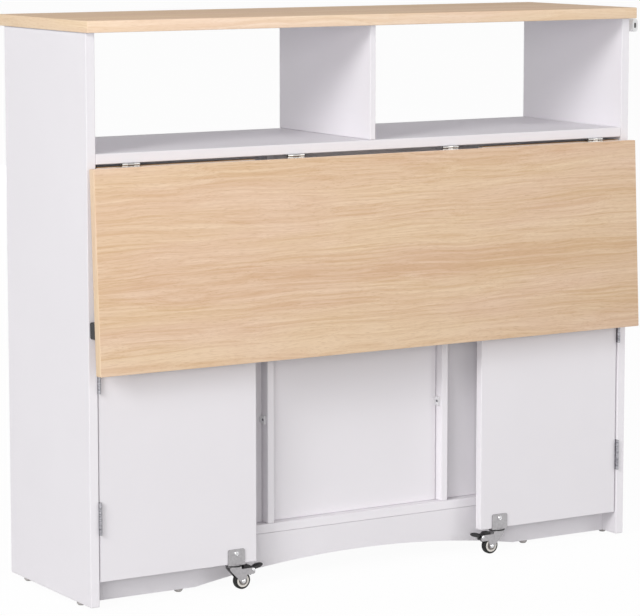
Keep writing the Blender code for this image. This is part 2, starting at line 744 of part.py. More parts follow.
def fork_mesh():
    """Return the swivel fork: a crown over two legs that carry the axle and the pedal."""
    inside = WHEEL_WIDTH / 2 + WHEEL_SIDE_GAP
    outside = inside + FORK_LEG
    solids = [rod_mesh((0, 0, crown_underside), (0, 0, crown_top), CROWN_RADIUS, ROUND_STEPS)]
    for hand in (-1, 1):
        turn = Matrix.Translation((0, hand * (inside + outside) / 2, 0)) @ UPRIGHT
        solids.append(outline_mesh(fork_outline(), FORK_LEG, turn))
    hole = KINGPIN_RADIUS + KINGPIN_CLEARANCE
    axle = AXLE_RADIUS + AXLE_CLEARANCE
    pin = PEDAL_PIN_RADIUS + PIN_CLEARANCE
    reach = outside + FORK_LEG
    cutters = [rod_mesh((0, 0, crown_underside - FORK_LEG), (0, 0, crown_top + FORK_LEG), hole, SMALL_STEPS)]
    for across, up, radius in ((CASTER_TRAIL, WHEEL_RADIUS, axle), (pedal_pivot_x, pedal_pivot_z, pin)):
        cutters.append(rod_mesh((across, -reach, up), (across, reach, up), radius, SMALL_STEPS))
    return smooth(fused(solids, cutters))


def tyre_mesh():
    """Return the tyre, a ring round the hub with rounded shoulders."""
    half = WHEEL_WIDTH / 2
    bore = HUB_RADIUS + SEAT_GAP
    soft = WHEEL_RADIUS - TYRE_SHOULDER
    edge = half - TYRE_SHOULDER
    profile = [(soft, half)]
    profile += [point for point in arc((soft, edge), TYRE_SHOULDER, 90, 0, CORNER_STEPS)][1:]
    profile += arc((soft, -edge), TYRE_SHOULDER, 0, -90, CORNER_STEPS)
    profile += [(bore, -half), (bore, half)]
    mesh = turned_mesh(profile, True, ROUND_STEPS)
    mesh.transform(UPRIGHT)
    return smooth(mesh)


def hub_mesh():
    """Return the hub with its dished faces and the axle through the fork's legs."""
    half = WHEEL_WIDTH / 2
    dish = half - HUB_DISH
    rim = HUB_RADIUS - HUB_DISH
    end = half + WHEEL_SIDE_GAP + FORK_LEG + AXLE_HEAD
    face = half + WHEEL_SIDE_GAP / 2
    upper = [(0, end), (AXLE_RADIUS, end), (AXLE_RADIUS, face), (HUB_BOSS_RADIUS, face)]
    upper += [(HUB_BOSS_RADIUS, dish), (rim, dish), (rim, half), (HUB_RADIUS, half)]
    lower = [(radius, -height) for radius, height in reversed(upper)]
    mesh = turned_mesh(upper + lower, False, ROUND_STEPS)
    mesh.transform(UPRIGHT)
    return smooth(mesh)


def pedal_mesh():
    """Return the rocking brake pedal about its pivot.

    Pressing the oval foot turns the cam under the pivot against the tyre. Pressing the inner lobe, above
    the tyre, lets it go again.
    """
    neck = WHEEL_WIDTH / 2
    slim = neck - EDGE_ROUND
    pin_end = neck + WHEEL_SIDE_GAP + FORK_LEG
    pin = rod_mesh((0, -pin_end, 0), (0, pin_end, 0), PEDAL_PIN_RADIUS, SMALL_STEPS)
    foot_middle = PEDAL_FOOT_START + PEDAL_FOOT_LENGTH / 2
    lobe_root = (-PEDAL_LOBE_ROOT, PEDAL_LOBE_RISE)
    lobe_end = (-PEDAL_LOBE_REACH, PEDAL_LOBE_RISE)
    lobe = wrapped([(*lobe_end, PEDAL_LOBE_RADIUS), (*lobe_root, PEDAL_LOBE_RADIUS)])
    neck_ends = [(*lobe_root, PEDAL_NECK_RADIUS), (0, 0, PEDAL_BARREL)]
    neck_ends += [(foot_middle, PEDAL_FOOT_RISE, PEDAL_NECK_RADIUS)]
    cam = wrapped([(0, 0, PEDAL_NECK_RADIUS), (*cam_spot(), BRAKE_CAM_RADIUS)])
    solids = [foot_mesh(foot_middle)]
    solids.append(outline_mesh(lobe, 2 * neck, UPRIGHT))
    solids.append(outline_mesh(wrapped(neck_ends[:2]), 2 * slim, UPRIGHT))
    solids.append(outline_mesh(wrapped(neck_ends[1:]), 2 * (slim - EDGE_ROUND), UPRIGHT))
    solids.append(outline_mesh(cam, 2 * (slim - 2 * EDGE_ROUND), UPRIGHT))
    solids.append(pin)
    return smooth(fused(solids))


def foot_mesh(middle):
    """Return the pedal's oval foot, domed on both sides and tilted up at its end."""
    size = (PEDAL_FOOT_LENGTH / 2, PEDAL_FOOT_WIDTH / 2, PEDAL_FOOT_THICKNESS / 2, 1.0)
    tilt = Matrix.Rotation(math.radians(-PEDAL_FOOT_TILT), 4, "Y")
    matrix = Matrix.Translation((middle, 0, PEDAL_FOOT_RISE)) @ tilt @ Matrix.Diagonal(size)
    shape = bmesh.new()
    bmesh.ops.create_uvsphere(
        shape, u_segments=BARREL_STEPS, v_segments=SMALL_STEPS, radius=1.0, matrix=matrix,
    )
    mesh = bpy.data.meshes.new("foot")
    shape.to_mesh(mesh)
    shape.free()
    return mesh


def cam_spot():
    """Return the middle of the cam's nose from the pivot, with the rest clearance to the tyre."""
    to_axle = (-PEDAL_PIVOT_BEHIND, WHEEL_RADIUS - pedal_pivot_z)
    far = math.hypot(*to_axle)
    turned = math.radians(BRAKE_CAM_ANGLE)
    stand = WHEEL_RADIUS + BRAKE_CLEARANCE + BRAKE_CAM_RADIUS
    length = far * math.cos(turned) - math.sqrt(stand ** 2 - (far * math.sin(turned)) ** 2)
    direction = math.atan2(to_axle[1], to_axle[0]) + turned
    return (length * math.cos(direction), length * math.sin(direction))


def main():
    """Build the island about the middle of its box."""
    middle = ((box_left_x + box_right_x) / 2, (box_dining_y + box_kitchen_y) / 2, 0)
    root = make_axis("island_root", None, [-value for value in middle])
    build_carcass(root)
    build_leaf(root)
    for side in (LEFT, RIGHT):
        build_gate(root, side)


main()
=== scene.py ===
"""Kitchen island: the finishes, small fittings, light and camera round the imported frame.

Everything is in metres, in the frame's own axes: +X along the island towards the towel rail, +Y from
the dining side to the kitchen side and +Z up. Pattern sizes are in millimetres. Each object keeps its
origin at the frame's origin, so that object coordinates are places on the island at rest.
"""
import json
import logging
import math
from collections.abc import Iterable
from collections.abc import Sequence
from dataclasses import dataclass
from enum import Enum

import bmesh
import bpy
from mathutils import Matrix
from mathutils import Vector


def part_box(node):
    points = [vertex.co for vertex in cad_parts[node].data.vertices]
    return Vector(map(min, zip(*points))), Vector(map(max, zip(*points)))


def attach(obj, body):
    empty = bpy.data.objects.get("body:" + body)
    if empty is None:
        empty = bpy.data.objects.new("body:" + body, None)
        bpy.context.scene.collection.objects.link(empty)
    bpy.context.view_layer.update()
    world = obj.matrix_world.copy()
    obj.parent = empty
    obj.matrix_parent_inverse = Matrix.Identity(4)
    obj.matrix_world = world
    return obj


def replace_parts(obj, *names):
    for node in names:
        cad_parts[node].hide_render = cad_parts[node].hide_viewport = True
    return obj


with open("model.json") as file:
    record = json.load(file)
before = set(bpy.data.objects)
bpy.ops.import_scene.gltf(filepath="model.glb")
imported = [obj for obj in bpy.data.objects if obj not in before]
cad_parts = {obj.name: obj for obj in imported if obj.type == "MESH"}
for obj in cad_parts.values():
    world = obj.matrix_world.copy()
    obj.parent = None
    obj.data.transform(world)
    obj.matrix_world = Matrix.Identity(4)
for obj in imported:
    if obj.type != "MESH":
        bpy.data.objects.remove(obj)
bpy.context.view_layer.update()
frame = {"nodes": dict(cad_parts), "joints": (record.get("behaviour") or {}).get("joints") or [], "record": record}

NODES: dict[str, bpy.types.Object] = frame["nodes"]
MM_PER_M = 1000.0
QUARTER_TURN = math.radians(90)
# The two ways along an axis.
HANDS = (-1, 1)
# A normal's least share along an axis for a face that looks mostly, or straight, that way.
FACING = 0.5
SQUARE_ON = 0.9
# Edges that fold more than this stay hard under smooth shading.
SHARP_ANGLE = math.radians(38)
MERGE_DISTANCE = 1e-7

# The sRGB curve
SRGB_FULL = 255
SRGB_KNEE = 0.04045
SRGB_SLOPE = 12.92
SRGB_OFFSET = 0.055
SRGB_POWER = 2.4
WHITE = "#ffffff"

# Sockets of the Mix node in its colour mode
FACTOR = 0
FIRST = 6
SECOND = 7
MIXED = 2

# Octaves of finer noise on a pattern
PLAIN = 0.0
SMOOTH = 1.0
SOFT = 2.0
BROKEN = 3.0
ROUGH = 4.0
NOISE_MIDDLE = 0.5

log = logging.getLogger("kitchen_island")


class Axis(Enum):
    """An axis of the island's frame."""

    X = 0
    Y = 1
    Z = 2


class Side(Enum):
    """A side of the island, seen from the dining side, with the sign of its X."""

    LEFT = -1
    RIGHT = 1

    @property
    def word(self) -> str:
        """The side's name in node and body names."""
        return self.name.lower()


class BoardFace(Enum):
    """The faces of an oak board, with the number of their material slot."""

    FACE = 0
    LONG_BAND = 1
    END_BAND = 2
    UNDERSIDE = 3


# Shader nodes and colours


def linear(colour: str) -> tuple[float, float, float, float]:
    """Turn an sRGB hex colour into linear light.

    Args:
        colour: six hex digits after a number sign.

    Returns:
        Linear red, green, blue and an alpha of one.
    """
    shares = [int(colour[start:start + 2], 16) / SRGB_FULL for start in (1, 3, 5)]
    light = [
        share / SRGB_SLOPE if share <= SRGB_KNEE
        else ((share + SRGB_OFFSET) / (1 + SRGB_OFFSET)) ** SRGB_POWER
        for share in shares
    ]
    return (*light, 1.0)


def add_node(
    tree: bpy.types.NodeTree, kind: str, inputs: dict[str | int, object], **settings: object,
) -> bpy.types.Node:
    """Add a shader node with its settings, values and links.

    Args:
        tree: the node tree that the node goes into.
        kind: Blender's name for the node, without the leading ShaderNode.
        inputs: for each input, by name or number, either the output that feeds it or its value.
        settings: the node's own properties.

    Returns:
        The new node.
    """
    node = tree.nodes.new(f"ShaderNode{kind}")
    for name, value in settings.items():
        setattr(node, name, value)
    for name, value in inputs.items():
        if isinstance(value, bpy.types.NodeSocket):
            tree.links.new(value, node.inputs[name])
        else:
            node.inputs[name].default_value = value
    return node


@dataclass(frozen=True)
class Finish:
    """A surface finish, made into one material the first time that it is asked for.

    A noise within the sheen's span moves the roughness from its first value to its second.
    """

    name: str
    roughness: tuple[float, float] = (0.38, 0.52)
    sheen_span: tuple[float, float] = (0.3, 0.7)
    relief: float = 0.15
    relief_mm: float = 0.2

    def material(self) -> bpy.types.Material:
        """Make the finish's material, or find it.

        Returns:
            The material.
        """
        made = bpy.data.materials.get(self.name)
        if made is None:
            made = bpy.data.materials.new(self.name)
            made.use_nodes = True
            self.paint(made.node_tree, made.node_tree.nodes["Principled BSDF"])
        return made

    def paint(self, tree: bpy.types.NodeTree, shader: bpy.types.Node) -> None:
        """Set the shader and its patterns.

        Args:
            tree: the material's node tree.
            shader: its Principled BSDF.
        """
        raise NotImplementedError

    def places(self, tree: bpy.types.NodeTree, cell_mm: Sequence[float]) -> bpy.types.NodeSocket:
        """Return object coordinates in pattern cells.

        Args:
            tree: the material's node tree.
            cell_mm: the pattern's cell along X, Y and Z, in millimetres.

        Returns:
            The scaled coordinates.
        """
        spot = add_node(tree, "TexCoord", {})
        scale = [MM_PER_M / cell for cell in cell_mm]
        scaled = add_node(tree, "Mapping", {"Vector": spot.outputs["Object"], "Scale": scale})
        return scaled.outputs[0]

    def coat(
        self, tree: bpy.types.NodeTree, shader: bpy.types.Node, colour: bpy.types.Node,
        shine: bpy.types.NodeSocket, height: bpy.types.NodeSocket,
    ) -> None:
        """Give the shader its colour, sheen and relief.

        Args:
            tree: the material's node tree.
            shader: its Principled BSDF.
            colour: the Mix node that gives the colour.
            shine: the noise that varies the roughness.
            height: the noise that gives the relief.
        """
        low, high = self.sheen_span
        smooth, rough = self.roughness
        sheen = add_node(
            tree, "MapRange",
            {"Value": shine, "From Min": low, "From Max": high, "To Min": smooth, "To Max": rough},
        )
        bump = add_node(
            tree, "Bump",
            {"Strength": self.relief, "Distance": self.relief_mm / MM_PER_M, "Height": height},
        )
        tree.links.new(colour.outputs[MIXED], shader.inputs["Base Color"])
        tree.links.new(sheen.outputs[0], shader.inputs["Roughness"])
        tree.links.new(bump.outputs[0], shader.inputs["Normal"])


@dataclass(frozen=True, kw_only=True)
class Melamine(Finish):
    """Melamine-faced particle board, pressed between textured plates, with PVC edge bands.

    The press leaves a fine pearl that breaks up the sheen, so the white looks soft, not wet. The bands
    are extruded, so they are smoother and a shade whiter than the faces. A top edge that stays hidden may
    be coloured tan with darker flecks, in the look of bare particle board: this is painted shade, standing
    in for the shade that falls on that hidden top.
    """

    thin: Axis = Axis.X
    face: str = "#eeebef"
    mottle: str = "#e9e6ea"
    band: str = "#f0edf1"
    # The real pearl is under 1 mm. It is drawn a little coarser so that it shows.
    pearl_mm: float = 2.4
    cloud_mm: float = 170.0
    # Painted shade on a hidden top edge: tan with darker flecks.
    raw_top: bool = False
    chip: str = "#dcbc98"
    speck: str = "#b8946c"
    chip_mm: float = 2.6
    roughness: tuple[float, float] = (0.58, 0.70)
    relief: float = 0.10
    relief_mm: float = 0.4
    ior: float = 1.5
    specular: float = 0.25

    def paint(self, tree: bpy.types.NodeTree, shader: bpy.types.Node) -> None:
        """Set the shader and its patterns.

        Args:
            tree: the material's node tree.
            shader: its Principled BSDF.
        """
        pearl, cloud = (
            add_node(
                tree, "TexNoise",
                {"Vector": self.places(tree, [cell] * 3), "Scale": 1.0, "Detail": detail},
            )
            for cell, detail in ((self.pearl_mm, BROKEN), (self.cloud_mm, SOFT))
        )
        spot = add_node(tree, "TexCoord", {})
        normal = add_node(tree, "SeparateXYZ", {"Vector": spot.outputs["Normal"]})
        across = add_node(tree, "Math", {0: normal.outputs[self.thin.value]}, operation="ABSOLUTE")
        is_face = add_node(tree, "Math", {0: across.outputs[0], 1: FACING}, operation="GREATER_THAN")
        faces = add_node(
            tree, "Mix",
            {FACTOR: cloud.outputs[0], FIRST: linear(self.face), SECOND: linear(self.mottle)},
            data_type="RGBA",
        )
        colour = add_node(
            tree, "Mix",
            {FACTOR: is_face.outputs[0], FIRST: linear(self.band), SECOND: faces.outputs[MIXED]},
            data_type="RGBA",
        )
        # Painted shade: the top edge is coloured tan with darker flecks, so that it is darker where it lies in
        # shade.
        if self.raw_top:
            shade_chips = add_node(
                tree, "TexNoise",
                {"Vector": self.places(tree, [self.chip_mm] * 3), "Scale": 1.0, "Detail": SOFT},
            )
            pressed = add_node(
                tree, "Mix",
                {FACTOR: shade_chips.outputs[0], FIRST: linear(self.chip), SECOND: linear(self.speck)},
                data_type="RGBA",
            )
            is_shaded_top = add_node(
                tree, "Math", {0: normal.outputs[Axis.Z.value], 1: FACING}, operation="GREATER_THAN",
            )
            colour = add_node(
                tree, "Mix",
                {FACTOR: is_shaded_top.outputs[0], FIRST: colour.outputs[MIXED], SECOND: pressed.outputs[MIXED]},
                data_type="RGBA",
            )
        self.coat(tree, shader, colour, pearl.outputs[0], pearl.outputs[0])
        shader.inputs["IOR"].default_value = self.ior
        shader.inputs["Specular IOR Level"].default_value = self.specular


@dataclass(frozen=True)
class Streak:
    """A layer of noise drawn out along the grain, with its cell in millimetres.

    The detail is its octaves of finer noise, and the strength its weight in the print.
    """

    run_mm: float
    cross_mm: float
    detail: float
    strength: float = 1.0


@dataclass(frozen=True, kw_only=True)
class OakPrint(Finish):
    """Oak-look laminate: a printed paper under melamine, pressed with a faint pore texture.

    The print shows long growth lines a few millimetres apart that bend slowly together, broad lighter
    and darker bands, patches of a rosier or yellower tint, and short dark pores along the grain. The
    overlay gives one even satin sheen.
    """

    along: Axis = Axis.X
    pale: str = "#eacfb4"
    dark: str = "#d8b593"
    rosy: str = "#fffdff"
    yellow: str = "#fffffa"
    pore: str = "#bd9670"
    # The slow wander bends all finer lines together, as growth rings pass a knot.
    wander: Streak = Streak(600.0, 130.0, BROKEN)
    wander_mm: float = 52.0
    wander_roughness: float = 0.58
    bands: Streak = Streak(1300.0, 46.0, SOFT, 1.40)
    lines: Streak = Streak(640.0, 4.4, SOFT, 1.75)
    fibres: Streak = Streak(110.0, 2.2, SMOOTH, 0.95)
    patches: Streak = Streak(330.0, 46.0, SOFT)
    patch_span: tuple[float, float] = (0.36, 0.64)
    # The long pores, and the hair-fine ones between them that show only from close by.
    pores: tuple[Streak, ...] = (Streak(34.0, 1.4, PLAIN, 0.15), Streak(15.0, 0.5, PLAIN, 0.32))
    pore_levels: tuple[float, ...] = (0.68, 0.60)
    pore_edge: float = 0.12
    roughness: tuple[float, float] = (0.54, 0.68)
    sheen_span: tuple[float, float] = (0.0, 1.0)
    relief: float = 0.12
    relief_mm: float = 0.3
    ior: float = 1.5
    specular: float = 0.18

    def cell(self, streak: Streak) -> list[float]:
        """Return a streak's cell along X, Y and Z."""
        return [streak.run_mm if axis is self.along else streak.cross_mm for axis in Axis]

    def drawn(
        self, tree: bpy.types.NodeTree, bend: bpy.types.NodeSocket, streak: Streak,
    ) -> bpy.types.NodeSocket:
        """Return a streak's noise, which follows the grain's bends.

        Args:
            tree: the material's node tree.
            bend: how far the grain wanders, as a vector about zero.
            streak: the layer.

        Returns:
            The noise, from zero to one.
        """
        reach = [0.0 if axis is self.along else self.wander_mm / streak.cross_mm for axis in Axis]
        place = add_node(
            tree, "VectorMath", {0: bend, 1: reach, 2: self.places(tree, self.cell(streak))},
            operation="MULTIPLY_ADD",
        )
        noise = add_node(
            tree, "TexNoise", {"Vector": place.outputs[0], "Scale": 1.0, "Detail": streak.detail},
        )
        return noise.outputs[0]

    def paint(self, tree: bpy.types.NodeTree, shader: bpy.types.Node) -> None:
        """Set the shader and its patterns.

        Args:
            tree: the material's node tree.
            shader: its Principled BSDF.
        """
        wander = add_node(
            tree, "TexNoise",
            {
                "Vector": self.places(tree, self.cell(self.wander)), "Scale": 1.0,
                "Detail": self.wander.detail, "Roughness": self.wander_roughness,
            },
        )
        middle = [NOISE_MIDDLE] * 3
        bend = add_node(
            tree, "VectorMath", {0: wander.outputs["Color"], 1: middle}, operation="SUBTRACT",
        ).outputs[0]
        fibres = self.drawn(tree, bend, self.fibres)
        # Each layer of light and dark moves the tone about the print's middle by its strength.
        layers = (
            (self.drawn(tree, bend, self.bands), self.bands.strength),
            (self.drawn(tree, bend, self.lines), self.lines.strength),
            (fibres, self.fibres.strength),
        )
        tone = NOISE_MIDDLE - NOISE_MIDDLE * sum(strength for noise, strength in layers)
        for noise, strength in layers:
            tone = add_node(
                tree, "Math", {0: noise, 1: strength, 2: tone}, operation="MULTIPLY_ADD",
            ).outputs[0]
        print_tone = add_node(
            tree, "Mix", {FACTOR: tone, FIRST: linear(self.dark), SECOND: linear(self.pale)},
            data_type="RGBA",
        )
        low, high = self.patch_span
        patches = add_node(
            tree, "MapRange",
            {"Value": self.drawn(tree, bend, self.patches), "From Min": low, "From Max": high},
        )
        tint = add_node(
            tree, "Mix",
            {FACTOR: patches.outputs[0], FIRST: linear(self.rosy), SECOND: linear(self.yellow)},
            data_type="RGBA",
        )
        colour = add_node(
            tree, "Mix",
            {FACTOR: 1.0, FIRST: print_tone.outputs[MIXED], SECOND: tint.outputs[MIXED]},
            data_type="RGBA", blend_type="MULTIPLY",
        )
        for streak, level in zip(self.pores, self.pore_levels):
            pores = add_node(
                tree, "MapRange",
                {
                    "Value": self.drawn(tree, bend, streak), "From Min": level,
                    "From Max": level + self.pore_edge, "To Max": streak.strength,
                },
            )
            colour = add_node(
                tree, "Mix",
                {FACTOR: pores.outputs[0], FIRST: colour.outputs[MIXED], SECOND: linear(self.pore)},
                data_type="RGBA",
            )
        self.coat(tree, shader, colour, fibres, fibres)
        shader.inputs["IOR"].default_value = self.ior
        shader.inputs["Specular IOR Level"].default_value = self.specular


@dataclass(frozen=True, kw_only=True)
class PlatedSteel(Finish):
    """Stamped, rolled or turned steel with a plated coat.

    Rolling and tumbling leave faint streaks and dull spots, which spread the reflections unevenly. The
    spread is how far the noise goes from its middle before a spot is all bright or all dull.
    """

    bright: str
    dull: str
    roughness: tuple[float, float] = (0.22, 0.36)
    # Real rolling marks are about 0.1 mm apart. They are drawn coarser so that they show.
    streak_mm: tuple[float, float, float] = (9.0, 9.0, 1.2)
    spot_mm: tuple[float, float, float] = (3.5, 3.5, 3.5)
    spread: float = 0.5
    relief: float = 0.08

    def paint(self, tree: bpy.types.NodeTree, shader: bpy.types.Node) -> None:
        """Set the shader and its patterns.

        Args:
            tree: the material's node tree.
            shader: its Principled BSDF.
        """
        streaks, spots = (
            add_node(
                tree, "TexNoise", {"Vector": self.places(tree, cell), "Scale": 1.0, "Detail": detail},
            )
            for cell, detail in ((self.streak_mm, ROUGH), (self.spot_mm, SOFT))
        )
        bloom = add_node(
            tree, "MapRange",
            {
                "Value": spots.outputs[0],
                "From Min": NOISE_MIDDLE - self.spread, "From Max": NOISE_MIDDLE + self.spread,
            },
        )
        colour = add_node(
            tree, "Mix",
            {FACTOR: bloom.outputs[0], FIRST: linear(self.bright), SECOND: linear(self.dull)},
            data_type="RGBA",
        )
        self.coat(tree, shader, colour, streaks.outputs[0], streaks.outputs[0])
        shader.inputs["Metallic"].default_value = 1.0


@dataclass(frozen=True, kw_only=True)
class Moulded(Finish):
    """Moulded plastic or rubber with the grain of its mould, or a sprayed enamel with its orange peel.

    The spark-eroded mould leaves a fine grain, so highlights are broad and slightly broken. Handling rubs
    soft patches into it.
    """

    base: str
    worn: str
    # The real grain is 0.1 to 0.3 mm. It is drawn coarser so that it shows.
    grain_mm: float = 0.8
    rub_mm: float = 7.0
    ior: float = 1.52
    specular: float = 0.5

    def paint(self, tree: bpy.types.NodeTree, shader: bpy.types.Node) -> None:
        """Set the shader and its patterns.

        Args:
            tree: the material's node tree.
            shader: its Principled BSDF.
        """
        grain, rub = (
            add_node(
                tree, "TexNoise",
                {"Vector": self.places(tree, [cell] * 3), "Scale": 1.0, "Detail": detail},
            )
            for cell, detail in ((self.grain_mm, SOFT), (self.rub_mm, BROKEN))
        )
        colour = add_node(
            tree, "Mix", {FACTOR: rub.outputs[0], FIRST: linear(self.base), SECOND: linear(self.worn)},
            data_type="RGBA",
        )
        self.coat(tree, shader, colour, rub.outputs[0], grain.outputs[0])
        shader.inputs["IOR"].default_value = self.ior
        shader.inputs["Specular IOR Level"].default_value = self.specular


# White boards: soft cool white, one finish for each axis of the thickness, which tells face from band.
MELAMINE = {axis: Melamine(f"pressed_melamine_board_{axis.name.lower()}", thin=axis) for axis in Axis}
# Gates: the same white, with a tan top of painted shade that shows in the gap above the leaf.
GATE_BOARD = Melamine("pressed_melamine_board_with_raw_top", thin=Axis.Y, raw_top=True)
# Faces of the countertop and the leaf: pale satin oak.
OAK_FACE = OakPrint("printed_oak_laminate")
# Long edges of both: the print comes out paler on the band than on the face.
OAK_LONG_BAND = OakPrint("printed_oak_long_band", pale="#fae2ca", dark="#eed0b2", pore="#d8b48e")
# Ends of both: the same band, with its lines along the end.
OAK_END_BANDS = {
    axis: OakPrint(
        f"printed_oak_end_band_{axis.name.lower()}", along=axis,
        pale="#f0d8be", dark="#e4c7a8", pore="#cda983",
    )
    for axis in (Axis.Y, Axis.Z)
}
# Leaf hinges: bright and faintly warm, with crisp highlights.
NICKEL = PlatedSteel("nickel_plated_stamped_steel", bright="#c6c5c3", dull="#aaa9a7")
# Gate hinges: light and dark rolling marks round the barrel, the dark ones drawn darker than the steel is, as
# painted dark reflections.
HINGE_STEEL = PlatedSteel(
    "clear_zinc_rolled_steel", bright="#c0bfc4", dull="#626167", roughness=(0.28, 0.44),
    spot_mm=(9.0, 9.0, 1.6), spread=0.24,
)
# Clip screws: steel coloured dark, painted shade for the dark points of their recesses on the white clips.
SHADED_SCREW_STEEL = PlatedSteel(
    "dull_zinc_turned_steel", bright="#96959a", dull="#55545a", roughness=(0.36, 0.50),
)
# Brackets and forks: mid grey with a soft sheen.
ZINC = PlatedSteel(
    "zinc_plated_stamped_steel", bright="#b6b4b6", dull="#949294", roughness=(0.34, 0.50),
)
# Screw, rivet and axle heads: the brightest points.
SCREW_STEEL = PlatedSteel(
    "bright_zinc_turned_steel", bright="#e2e2e3", dull="#cbcbcd", roughness=(0.18, 0.30),
)
# Pedals, stops and seals, and the black inserts of painted shade in the rail's ends: near black with a broad, weak
# highlight.
BLACK_ABS = Moulded("moulded_black_abs", base="#141315", worn="#212022", specular=0.4)
# Tyres: black and matt, with a deeper grain.
RUBBER = Moulded(
    "moulded_black_rubber", base="#0e0e0e", worn="#191918", roughness=(0.50, 0.68),
    relief=0.3, specular=0.3,
)
# Hubs: warm mid grey.
GREY_NYLON = Moulded("moulded_grey_nylon", base="#9b9692", worn="#8a8480", roughness=(0.40, 0.55))
# Glides: light grey, so that they show as small points under the boards.
LIGHT_NYLON = Moulded(
    "moulded_light_grey_nylon", base="#b9b5b3", worn="#a8a4a2", roughness=(0.40, 0.55),
)
# Wheel rims: a pale ring in the black tyre.
PALE_NYLON = Moulded("moulded_pale_nylon", base="#e6e2dc", worn="#d8d3cc", roughness=(0.32, 0.45))
# Panel clips: white, a little glossier than the boards.
WHITE_PP = Moulded(
    "moulded_white_polypropylene", base="#e9e8ea", worn="#dedde0", roughness=(0.40, 0.50),
)
# Towel rail: glossy white, smooth but for a faint orange peel.
ENAMEL = Moulded(
    "baked_white_enamel", base="#fbfbfb", worn="#f6f6f7", roughness=(0.20, 0.30),
    grain_mm=4.0, relief=0.05,
)


# Meshes and places


def finish_mesh(shape: bmesh.types.BMesh, name: str) -> bpy.types.Mesh:
    """Turn a bmesh into a mesh with smooth faces and sharp hard edges.

    Args:
        shape: the bmesh, which is freed.
        name: the mesh's name.

    Returns:
        The mesh.
    """
    bmesh.ops.recalc_face_normals(shape, faces=shape.faces)
    mesh = bpy.data.meshes.new(name)
    shape.to_mesh(mesh)
    shape.free()
    mesh.shade_smooth()
    mesh.set_sharp_from_angle(angle=SHARP_ANGLE)
    return mesh


def turned(profile: Sequence[tuple[float, float]], steps: int, ring: bool) -> bmesh.types.BMesh:
    """Turn a profile about Z.

    Args:
        profile: radius and height of each point.
        steps: facets round the turn.
        ring: whether the profile closes on itself, as for a ring, or ends on the axis.

    Returns:
        The closed shape.
    """
    shape = bmesh.new()
    spots = [shape.verts.new((radius, 0, height)) for radius, height in profile]
    pairs = list(zip(spots, spots[1:]))
    if ring:
        pairs.append((spots[-1], spots[0]))
    edges = [shape.edges.new(pair) for pair in pairs]
    bmesh.ops.spin(
        shape, geom=spots + edges, cent=(0, 0, 0), axis=(0, 0, 1), angle=2 * math.pi, steps=steps,
        use_merge=True,
    )
    bmesh.ops.remove_doubles(shape, verts=shape.verts, dist=MERGE_DISTANCE)
    return shape


def joined(meshes: Iterable[tuple[bpy.types.Mesh, Matrix]], name: str) -> bpy.types.Mesh:
    """Join placed copies of meshes into one.

    Args:
        meshes: each mesh with its place.
        name: the new mesh's name.

    Returns:
        The joined mesh.
    """
    shape = bmesh.new()
    for mesh, place in meshes:
        copy = mesh.copy()
        copy.transform(place)
        shape.from_mesh(copy)
        bpy.data.meshes.remove(copy)
    return finish_mesh(shape, name)


def add_piece(
    name: str, mesh: bpy.types.Mesh, finishes: Iterable[Finish], body: str,
) -> bpy.types.Object:
    """Put a piece on a body of the frame.

    Args:
        name: the piece's name.
        mesh: its mesh, in the frame's coordinates.
        finishes: the finish of each of the mesh's material slots.
        body: the frame's body that carries it.

    Returns:
        The piece.
    """
    for finish in finishes:
        mesh.materials.append(finish.material())
    piece = bpy.data.objects.new(name, mesh)
    bpy.context.scene.collection.objects.link(piece)
    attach(piece, body)
    log.info("built %s on %s", name, body)
    return piece


def dress(names: Iterable[str], finish: Finish) -> None:
    """Give solids of the frame a finish.

    Args:
        names: the nodes' names.
        finish: the finish.
    """
    for name in names:
        materials = NODES[name].data.materials
        materials.clear()
        materials.append(finish.material())
        log.info("dressed %s in %s", name, finish.name)


def named(start: str) -> list[str]:
    """Return the names of the nodes that start with these letters."""
    return [name for name in NODES if name.startswith(start)]


def joint_place(name: str) -> Vector:
    """Return the point that a joint of the frame turns about."""
    found = next(joint for joint in frame["joints"] if joint["name"] == name)
    return Vector(found["pos_m"])


def leaf_lean() -> float:
    """Measure how far the hanging leaf leans out, on its largest face.

    Returns:
        The angle from upright, in radians.
    """
    faces = NODES["drop_leaf"].data.polygons
    normal = max(faces, key=lambda face: face.area).normal
    return math.atan2(abs(normal.z), abs(normal.y))


# The island


